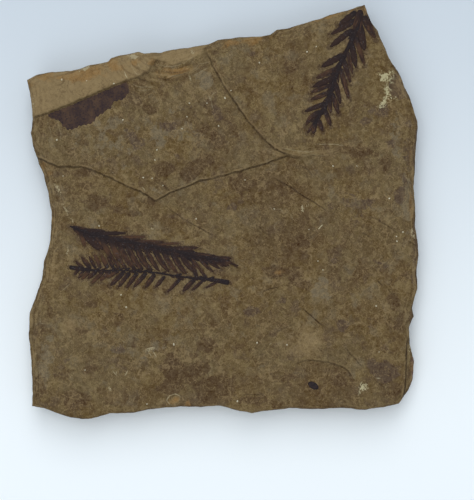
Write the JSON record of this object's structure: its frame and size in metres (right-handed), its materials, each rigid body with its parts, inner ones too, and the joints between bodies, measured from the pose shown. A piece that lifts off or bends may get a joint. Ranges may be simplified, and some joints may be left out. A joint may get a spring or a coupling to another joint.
{
  "type": "fossil leafy-twig plate",
  "caption": "Flat slab of split mudstone with pressed conifer twigs, a piece of broad leaf and a seed in its face; lies on its flat back.",
  "frame": {"origin": "middle of the box round the slab, on the plane that the flat back rests on", "axes": "+Z out of the fossil face, +Y towards the top edge of the face as it is shown upright, +X to the right of the face"},
  "size_m": [0.0982, 0.104, 0.0099],
  "materials": {
    "mudstone": "matt olive-brown split mudstone with ochre broken edges",
    "coal": "dull black-brown coal film",
    "leaf_coal": "thin purple-brown coal film",
    "seed_coal": "dark brown, slightly satin"
  },
  "bodies": {
    "root": {"slab": "mudstone", "twig_upper_right": "coal", "twigs_left": "coal", "leaf_fragment": "leaf_coal", "seed": "seed_coal"}
  },
  "joints": []
}
